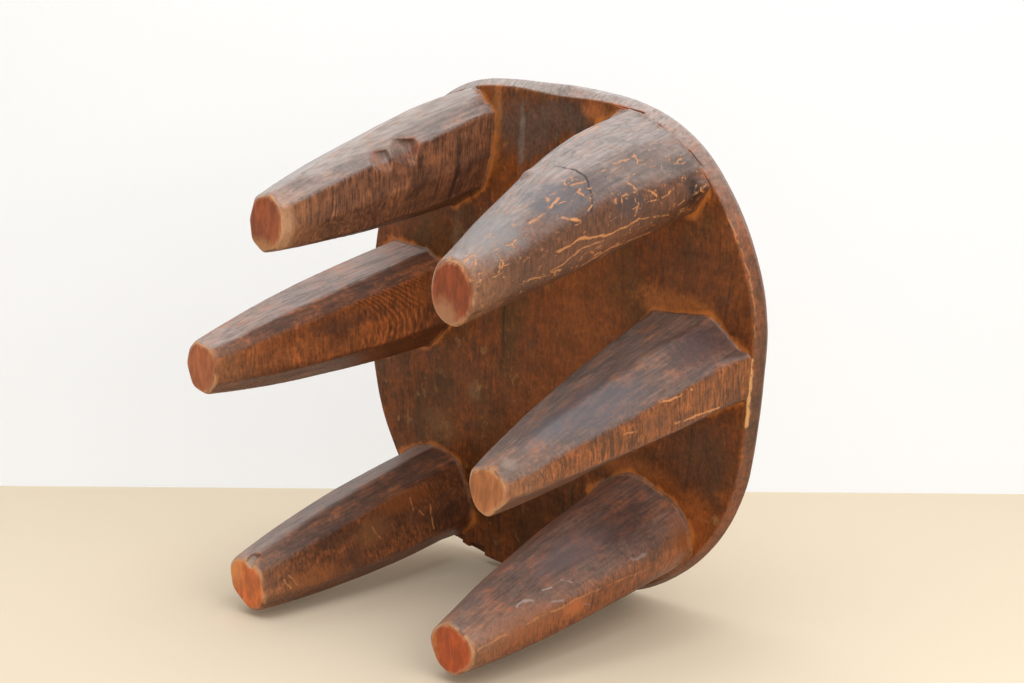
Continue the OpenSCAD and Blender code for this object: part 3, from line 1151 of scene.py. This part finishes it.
class Wood(Shader):
    """Hand-rubbed wood, solid through the block, with its grain along Y. Each step gives a new colour."""

    def __init__(self, node, wood, middle, lean):
        super().__init__(bpy.data.materials.new(node + "_wood"))
        self.look, self.wood = LOOKS[node], wood
        self.stains, self.marks = STAINS_AND_PAINTED_LIGHT[node], MARKS.get(node, [])
        tinted = [np.multiply(colour, self.look["tint"]) for colour in (wood.fresh, wood.body, wood.streak)]
        self.fresh, self.body, self.streak = tinted

        self.at = self.vector("MULTIPLY", self.node("TexCoord").outputs["Object"], (1 / MM, 1 / MM, 1 / MM))
        self.height = self.vector("DOT_PRODUCT", self.at, (0, 0, 1))
        self.straight = self.vector("MULTIPLY_ADD", self.height, lean, self.at)
        self.bent = self.strayed(self.at, 60, 14, 2)
        self.grow_rings(middle)

        self.streaks = self.noise(self.bent, 1.5, 3, 0.6, (1, 0.07, 1))
        self.fibres = self.noise(self.at, 0.6, 2, 0.6, (1, 0.06, 1))
        self.brushed = self.noise(self.straight, 1.7, 3, 0.55, (1, 1, 0.03))
        self.mottle = self.noise(self.at, 4, 4, 0.65)
        self.blotch = self.noise(self.bent, 22, 4, 0.6)
        self.speck = self.noise(self.bent, 2.2, 4, 0.75, (1, 0.6, 1))
        self.patch = self.noise(self.straight, 8, 5, 0.7, (1, 1, 0.4))
        self.cluster = self.noise(self.bent, 11, 3, 0.65, (1, 0.4, 1))
        self.ragged = self.scaled(self.mottle, 1.1, self.scaled(self.blotch, 0.8, -0.95))
        self.patchy = self.scaled(self.mottle, 0.55, self.scaled(self.cluster, 0.9, -0.75))
        self.bare = self.fade(self.scaled(self.speck, 0.5, self.patch), 0.76, 0.92)

        self.worn, self.weather_and_sheen = self.mask("worn"), self.mask("weather_and_sheen")
        self.upward = self.fade(self.weather_and_sheen, 0.4, 0.75)
        self.sides = self.maths("SUBTRACT", 1, self.upward)

        stroked = self.scaled(self.brushed, 0.4, self.times(self.patch, 0.5))
        relief = self.between(self.upward, self.times(self.streaks, 0.7), stroked)
        self.relief = self.scaled(self.mottle, 0.5, self.scaled(self.fibres, 0.4, relief))

    def grow_rings(self, middle):
        """Growth rings round the pith, which bow round a leg, and the arcs that they cut on its sides."""
        pith = [part / MM for part in self.wood.pith]
        across = self.vector("MULTIPLY", self.vector("SUBTRACT", self.bent, pith), (1, 0, 1))
        off_middle = self.vector("DOT_PRODUCT", self.vector("SUBTRACT", self.bent, middle), (0, 1, 0))
        bow = self.times(self.times(off_middle, off_middle), self.look["bow"])
        depth = self.maths("ADD", self.vector("LENGTH", across), bow)
        sockets = {"W": depth, "Scale": 1.5 * MM / self.wood.ring_width, "Detail": 2, "Roughness": 0.6}
        ring = self.node("TexNoise", {"noise_dimensions": "1D"}, sockets).outputs["Fac"]
        self.ring = self.fade(ring, 0.35, 0.65)
        wave = self.scaled(self.noise(self.bent, 16, 2, 0.5), 10, self.times(depth, 1.5))
        self.arc = self.fade(self.maths("SINE", wave), -0.1, 0.75)

    def spot(self, middle, reach):
        """A patch with a ragged edge, such as a stain, a painted sheen or a painted shade: one at its middle
        and nought past its reach.
        """
        inward = self.vector("SUBTRACT", self.at, middle)
        inward = self.vector("MULTIPLY", inward, [1 / part for part in reach])
        return self.fade(self.maths("ADD", self.vector("LENGTH", inward), self.ragged), 1.25, 0.35)

    def line(self, at, stops, width):
        """A line through a row of places: one along its middle and nought past its width."""
        whole = None
        for start, end in zip(stops, stops[1:]):
            way = Vector(end) - Vector(start)
            off = self.vector("SUBTRACT", at, start)
            share = self.vector("DOT_PRODUCT", off, way)
            share = self.maths("DIVIDE", share, way.length_squared, clamp=True)
            aside = self.vector("SUBTRACT", off, self.vector("MULTIPLY", share, way))
            part = self.fade(self.vector("LENGTH", aside), width, width * 0.3)
            whole = part if whole is None else self.maths("MAXIMUM", whole, part)
        return whole

    def streaked(self):
        """Dark and light wood. The upper faces cross the grain, and show only the strokes along the leg."""
        figure = self.look["figure"]
        light = self.scaled(self.streaks, 0.7 * figure, 0.35 * (1 - figure))
        light = self.scaled(self.fibres, 0.35 * figure, self.maths("ADD", light, 0.175 * (1 - figure)))
        stroked = self.scaled(self.brushed, 0.3, self.scaled(self.patch, 0.5, 0.1))
        light = self.between(self.upward, light, stroked)
        self.light = self.scaled(self.blotch, 0.5, self.scaled(self.mottle, 0.25, light))
        return self.mix(self.fade(self.light, 0.74, 1.02), self.streak, self.body)

    def clouded(self, colour):
        """Broad dark and warm clouds, dark bands, and pale flecks that grow plainer to the right."""
        broad = self.noise(self.at, 42, 3, 0.55, (1, 0.5, 1))
        colour = self.mix(self.times(self.fade(broad, 0.5, 0.32), 0.55), colour, DARK_CLOUD)
        colour = self.mix(self.times(self.fade(broad, 0.5, 0.68), 0.55), colour, WARM_CLOUD)
        bands = self.noise(self.bent, 5, 4, 0.65, (1, 0.05, 1))
        colour = self.mix(self.times(self.fade(bands, 0.46, 0.3), 0.75), colour, DARK_BAND)
        flecks = self.fade(self.noise(self.at, 7, 3, 0.6, (1, 0.55, 1)), 0.6, 0.7)
        to_right = self.fade(self.vector("DOT_PRODUCT", self.at, (1, 0, 0)), -70, 50)
        return self.mix(self.times(flecks, self.scaled(to_right, 0.5, 0.15)), colour, PALE_FLECK)

    def ringed(self, colour):
        """Dark growth rings, and orange between the streaks, along the arcs and in flecks."""
        rings, orange = self.look["rings"], self.look["orange"]
        shown = self.times(self.sides, self.fade(self.blotch, 0.35, 0.55))
        shown = self.times(self.fade(self.height, 25, 100), shown)
        dark = self.times(self.times(self.maths("SUBTRACT", 1, self.ring), shown), 0.35 * rings)
        colour = self.mix(dark, colour, self.streak)
        glow = self.times(self.fade(self.cluster, 0.44, 0.66), self.fade(self.light, 0.84, 1.12))
        colour = self.mix(self.times(glow, self.times(self.sides, orange)), colour, self.fresh)
        along = self.fade(self.scaled(self.patch, 40, self.height), 200, 180)
        along = self.times(self.fade(self.height, 98, 128), along)
        arcs = self.times(self.times(self.arc, along), self.times(self.sides, rings))
        arcs = self.times(arcs, self.scaled(self.fade(self.streaks, 0.36, 0.6), 0.5, 0.1))
        colour = self.mix(arcs, colour, self.fresh)
        flecks = self.fade(self.noise(self.bent, 3, 3, 0.6, (1, 0.4, 1)), 0.63, 0.7)
        return self.mix(self.times(flecks, 0.5 * orange), colour, self.fresh)

    def handled(self, colour):
        """Dark skin in soft patches."""
        least = 0.68 - 0.3 * self.look["patina"]
        skin = self.fade(self.blotch, least, least + 0.14)
        skin = self.times(skin, self.scaled(self.streaks, -0.6, 0.9), clamp=True)
        return self.mix(skin, colour, self.wood.patina)

    def lighter_foot(self, colour):
        """Lighter wood towards a leg's foot."""
        foot = self.fade(self.scaled(self.blotch, 40, self.height), 62, 22)
        return self.mix(self.times(foot, self.times(self.streaks, 0.7)), colour, BARE_FOOT)

    def weathered_and_sheened(self, colour):
        """Each facet's own share of dark skin and of grey weathering with painted sheen, which is brushed
        lengthwise.
        """
        dark = self.times(self.mask("dark"), self.scaled(self.blotch, 1.2, 0.45), clamp=True)
        self.dark = self.times(dark, self.scaled(self.bare, -0.6, 1.12), clamp=True)
        colour = self.mix(self.dark, colour, self.wood.patina)
        colour = self.mix(self.times(self.bare, self.times(self.upward, 0.4)), colour, self.body)
        grey_and_sheen = self.fade(self.weather_and_sheen, 0.3, 1) if self.look["cracks"] else self.mask("grey_and_sheen")
        uneven = self.scaled(self.brushed, 0.9, self.scaled(self.speck, 0.6, 0.2))
        uneven = self.scaled(self.bare, -0.3, uneven)
        # The bloom is grey weathering, and partly painted sheen of the sky on the faces turned to the light
        self.bloom_and_sheen = self.times(self.times(grey_and_sheen, self.look["bloom_and_sheen"]), uneven, clamp=True)
        return self.mix(self.bloom_and_sheen, colour, self.wood.bloom_and_sheen)

    def grained(self, colour):
        """Small light and dark patches all over, softer where the grey weathering and painted sheen lie."""
        fine = self.between(self.times(self.upward, 0.7), self.speck, self.brushed)
        grain = self.scaled(fine, 1.5, self.scaled(self.patch, 1.1, -1.3))
        grain = self.scaled(grain, self.scaled(self.bloom_and_sheen, -0.5, 1), 1)
        return self.vector("MULTIPLY", colour, grain)

    def with_stains_and_painted_light(self, colour):
        """Stains, and a few painted sheens and one painted shade, which follow the fibres."""
        for middle, reach, tint, strength in self.stains:
            share = self.times(self.spot(middle, reach), strength)
            share = self.times(share, self.scaled(self.fibres, 1.1, 0.4), clamp=True)
            colour = self.mix(share, colour, tint)
        return colour

    def marked(self, colour):
        """Broken, wandering scratches, and broad bands that are rubbed off in strokes."""
        if not self.marks:
            return colour
        near = self.strayed(self.at, 7, 4, 3)
        broken = self.fade(self.noise(self.at, 5, 4, 0.7), 0.31, 0.46)
        rubbed_off = self.scaled(self.brushed, 2, self.scaled(self.bare, -0.4, -0.25), clamp=True)
        for tint, width, strength, *stops in self.marks:
            band = width > BAND_WIDTH
            share = self.line(self.at if band else near, stops, width)
            share = self.times(self.times(share, rubbed_off if band else broken), strength)
            colour = self.mix(share, colour, tint)
        return colour

    def rubbed(self, colour):
        """Orange where the edges are rubbed through."""
        rubbed = self.fade(self.scaled(self.mottle, 0.2, self.worn), 0.19, 0.32)
        rubbed = self.times(rubbed, self.fade(self.blotch, 0.4, 0.62))
        return self.mix(self.times(rubbed, self.look["rub"]), colour, self.fresh)

    def crack_net(self, size, width):
        """Thin lines round cells of a size, with broken, wandering courses."""
        cell = self.vector("MULTIPLY", self.strayed(self.straight, 14, 5, 4, 0.6), (1, 1, 0.3))
        sockets = {"Vector": cell, "Scale": 1 / size}
        gap = self.node("TexVoronoi", {"feature": "DISTANCE_TO_EDGE"}, sockets).outputs["Distance"]
        return self.fade(gap, width / size, 0.25 * width / size)

    def cracked(self, colour):
        """A net of fine cracks in the dark skin, with the orange wood bare along them."""
        if not self.look["cracks"]:
            return colour
        wide = self.fade(self.noise(self.straight, 12, 4, 0.7), 0.52, 0.6)
        wide = self.times(self.crack_net(12, 0.5), wide)
        fine = self.fade(self.noise(self.straight, 9, 4, 0.7), 0.56, 0.64)
        fine = self.times(self.crack_net(5, 0.35), fine)
        cracks = self.times(self.maths("MAXIMUM", wide, fine), self.fade(self.weather_and_sheen, 0.97, 0.62))
        self.relief = self.scaled(cracks, -0.8, self.relief)
        return self.mix(self.times(cracks, 0.7), colour, BARE)

    def bare_corners(self, colour):
        """Wood laid bare on the seat round each root, most of all in the corner beside it."""
        near = self.mask("near_leg")
        root = self.fade(self.maths("ADD", near, self.patchy), 0.5, 1.15)
        colour = self.mix(self.times(root, 0.7), colour, NEAR_ROOT)
        corner = self.fade(self.scaled(self.patchy, 0.7, near), 0.66, 0.92)
        return self.mix(self.times(corner, 0.9), colour, CORNER)

    def bare_root(self, colour):
        """Wood laid bare at a leg's root, and the seat's finish where the root spreads on to it."""
        root = self.times(self.fade(self.scaled(self.patchy, 14, self.height), 190, 198), 0.6)
        colour = self.mix(self.times(root, self.scaled(self.upward, -0.8, 1)), colour, BARE_ROOT)
        seam = self.times(self.mask("seam"), self.scaled(self.speck, 0.9, 0.45), clamp=True)
        under = self.mix(self.fade(self.patchy, -0.2, 0.2), SEAM_DARK, SEAM_LIGHT)
        return self.mix(seam, colour, under)

    def soled(self, colour):
        """The sole, which is cut square, and its border, which is rubbed pale."""
        sole, rind = self.look["sole"], self.wood.rind
        grain = self.noise(self.bent, 5, 4, 0.6, (1, 0.3, 1))
        raw = self.mix(self.fade(grain, 0.34, 0.68), shaded(sole, 0.68), shaded(sole, 1.15))
        raw = self.mix(self.times(self.fade(self.fibres, 0.5, 0.36), 0.25), raw, shaded(sole, 0.45))
        lip = self.fade(self.scaled(grain, 0.3, self.worn), 0.2, 0.4)
        raw = self.mix(self.times(lip, 0.7), raw, rind)
        for middle, reach, tint, strength in self.look["worn_sole"]:
            raw = self.mix(self.times(self.spot(middle, reach), strength), raw, tint)
        border = self.fade(self.scaled(self.mottle, 3, self.height), 4.2, 2.4)
        border = self.times(border, self.fade(self.cluster, 0.36, 0.56))
        colour = self.mix(self.times(border, 0.8), colour, rind)
        return self.mix(self.fade(self.height, 0.9, 0.3), colour, raw)

    def finished(self, colour):
        """The material with its colour, its gloss and its relief."""
        rough = self.scaled(self.mottle, 0.25, self.scaled(self.dark, -0.12, 0.34))
        rough = self.scaled(self.bloom_and_sheen, 0.2, rough)
        bump = self.node("Bump", {}, {"Strength": 0.6, "Distance": 0.6 * MM, "Height": self.relief})
        gloss = {"Roughness": rough, "Specular IOR Level": self.look["gloss"]}
        sockets = {"Base Color": colour, "Normal": bump.outputs["Normal"], **gloss}
        return self.surface(self.node("BsdfPrincipled", {}, sockets))


# The steps that follow the streaks, in order. A leg's stains, painted sheens and painted shade lie on its
# grain, and the seat's stains lie under it.
SEAT_STEPS = (
    Wood.clouded, Wood.ringed, Wood.handled, Wood.weathered_and_sheened, Wood.with_stains_and_painted_light, Wood.grained, Wood.marked,
    Wood.rubbed, Wood.bare_corners,
)
LEG_STEPS = (
    Wood.ringed, Wood.handled, Wood.lighter_foot, Wood.weathered_and_sheened, Wood.grained, Wood.with_stains_and_painted_light, Wood.marked,
    Wood.rubbed, Wood.cracked, Wood.bare_root, Wood.soled,
)


def stool_wood(node, wood, middle, lean):
    """The wood of one piece: where its middle is, in millimetres, and how it leans as it goes down."""
    made = Wood(node, wood, middle, lean)
    colour = made.streaked()
    for step in SEAT_STEPS if node == "seat" else LEG_STEPS:
        colour = step(made, colour)
    return made.finished(colour)


# Stage

# Size of the floor and of the backdrop, in metres
SHEET = 4


def paint(name, colour, glow):
    """A plain matt paint that is seen from its front only, lit through from behind by a share."""
    s = Shader(bpy.data.materials.new(name))
    matt = s.node("BsdfDiffuse", {}, {"Color": shaded(colour, 1 - glow)}).outputs[0]
    lit = s.node("Emission", {}, {"Color": colour, "Strength": glow}).outputs[0]
    front = s.node("AddShader", {}, {0: matt, 1: lit}).outputs[0]
    behind = s.node("BsdfTransparent").outputs[0]
    away = s.node("NewGeometry").outputs["Backfacing"]
    return s.surface(s.node("MixShader", {}, {0: away, 1: front, 2: behind}))


def sheet_on_stage(name, middle, up, across, colour, glow):
    """A large flat sheet that faces the stool."""
    bpy.ops.object.select_all(action="DESELECT")
    bpy.ops.mesh.primitive_plane_add(size=SHEET)
    sheet = bpy.context.active_object
    sheet.name = name
    turn = Matrix((across, up.cross(across), up)).transposed().to_4x4()
    sheet.data.transform(Matrix.Translation(middle) @ turn)
    sheet.data.materials.append(paint(name + "_paint", colour, glow))


def soft_light(name, at, aim, size, power, colour):
    """A large soft light that the camera doesn't see."""
    light = bpy.data.lights.new(name, "AREA")
    light.size = size
    light.energy = power
    light.color = colour
    lamp = bpy.data.objects.new(name, light)
    lamp.location = at
    lamp.rotation_euler = (aim - at).to_track_quat("-Z", "Y").to_euler()
    lamp.visible_camera = False
    bpy.context.scene.collection.objects.link(lamp)


def daylight(up, stage):
    """Soft light from all round, stronger and cooler from above."""
    world = bpy.data.worlds.new("daylight")
    s = Shader(world)
    rise = s.vector("DOT_PRODUCT", s.node("TexCoord").outputs["Generated"], up)
    sockets = {"Value": rise, "From Min": -0.1, "To Min": stage.sky_round, "To Max": stage.sky_above}
    strength = s.node("MapRange", {"interpolation_type": "SMOOTHSTEP"}, sockets).outputs[0]
    colour = s.mix(strength, (1, 0.84, 0.66), (0.95, 0.97, 1))
    sky = s.node("Background", {}, {"Color": colour, "Strength": strength}).outputs[0]
    s.node("OutputWorld", {}, {"Surface": sky})
    return world


class STOOL_OT_stage(bpy.types.Operator):
    """Sets the camera, the floor, the backdrop and the light"""

    bl_idname = "stool.stage"
    bl_label = "Stage"

    def execute(self, context):
        stage = context.scene.stool_stage
        camera = bpy.data.objects.new("camera", bpy.data.cameras.new("camera"))
        camera.location = stage.camera_at
        camera.rotation_euler = stage.camera_turn
        camera.data.lens = stage.lens
        context.scene.collection.objects.link(camera)
        context.scene.camera = camera

        # The floor runs under the stool, and away from the camera up to the backdrop
        up = Vector(stage.floor_up).normalized()
        ahead = camera.rotation_euler.to_matrix() @ Vector((0, 0, -1))
        level = (ahead - up * up.dot(ahead)).normalized()
        under = -up * stage.floor_reach
        corner = under + level * (Vector(stage.wall_foot) - under).dot(level)
        sheet_on_stage("floor", corner - level * SHEET / 2, up, level, stage.floor_colour, 0)
        sheet_on_stage("backdrop", corner + up * SHEET / 2, -level, up, stage.wall_colour, 0.55)

        context.scene.world = daylight(up, stage)
        middle = (CAD_BOX[0] + CAD_BOX[1]) / 2
        above = middle + up * 0.9 - level * 0.2
        beside = middle + level.cross(up) * 0.7 - level * 1.1 + up * 0.65
        soft_light("overhead", above, middle, 1.2, stage.overhead, (0.92, 0.96, 1))
        soft_light("side", beside, middle, 0.9, stage.side, (1, 0.98, 0.95))
        context.scene.view_settings.view_transform = "Standard"
        return {"FINISHED"}


# Panel and start


class STOOL_PT_panel(bpy.types.Panel):
    """Lists the stool's settings and its steps"""

    bl_idname = "STOOL_PT_panel"
    bl_label = "Hewn stool"
    bl_space_type = "VIEW_3D"
    bl_region_type = "UI"
    bl_category = "Stool"

    def draw(self, context):
        scene = context.scene
        for step in STEPS:
            self.layout.operator(step.bl_idname)
        for settings in (scene.stool_carving, scene.stool_wood, scene.stool_stage):
            box = self.layout.box()
            for name in settings.bl_rna.properties.keys():
                if name not in ("rna_type", "name"):
                    box.prop(settings, name)


SETTINGS = {"stool_carving": StoolCarving, "stool_wood": StoolWood, "stool_stage": StoolStage}
STEPS = (STOOL_OT_stage, STOOL_OT_seat, STOOL_OT_legs)


def register():
    for kind in (*SETTINGS.values(), *STEPS, STOOL_PT_panel):
        bpy.utils.register_class(kind)
    for name, kind in SETTINGS.items():
        setattr(bpy.types.Scene, name, bpy.props.PointerProperty(type=kind))


def unregister():
    for name in SETTINGS:
        delattr(bpy.types.Scene, name)
    for kind in reversed((*SETTINGS.values(), *STEPS, STOOL_PT_panel)):
        bpy.utils.unregister_class(kind)


def main():
    """Registers the add-on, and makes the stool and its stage."""
    register()
    bpy.ops.stool.stage()
    bpy.ops.stool.seat()
    bpy.ops.stool.legs()


if __name__ == "__main__":
    main()
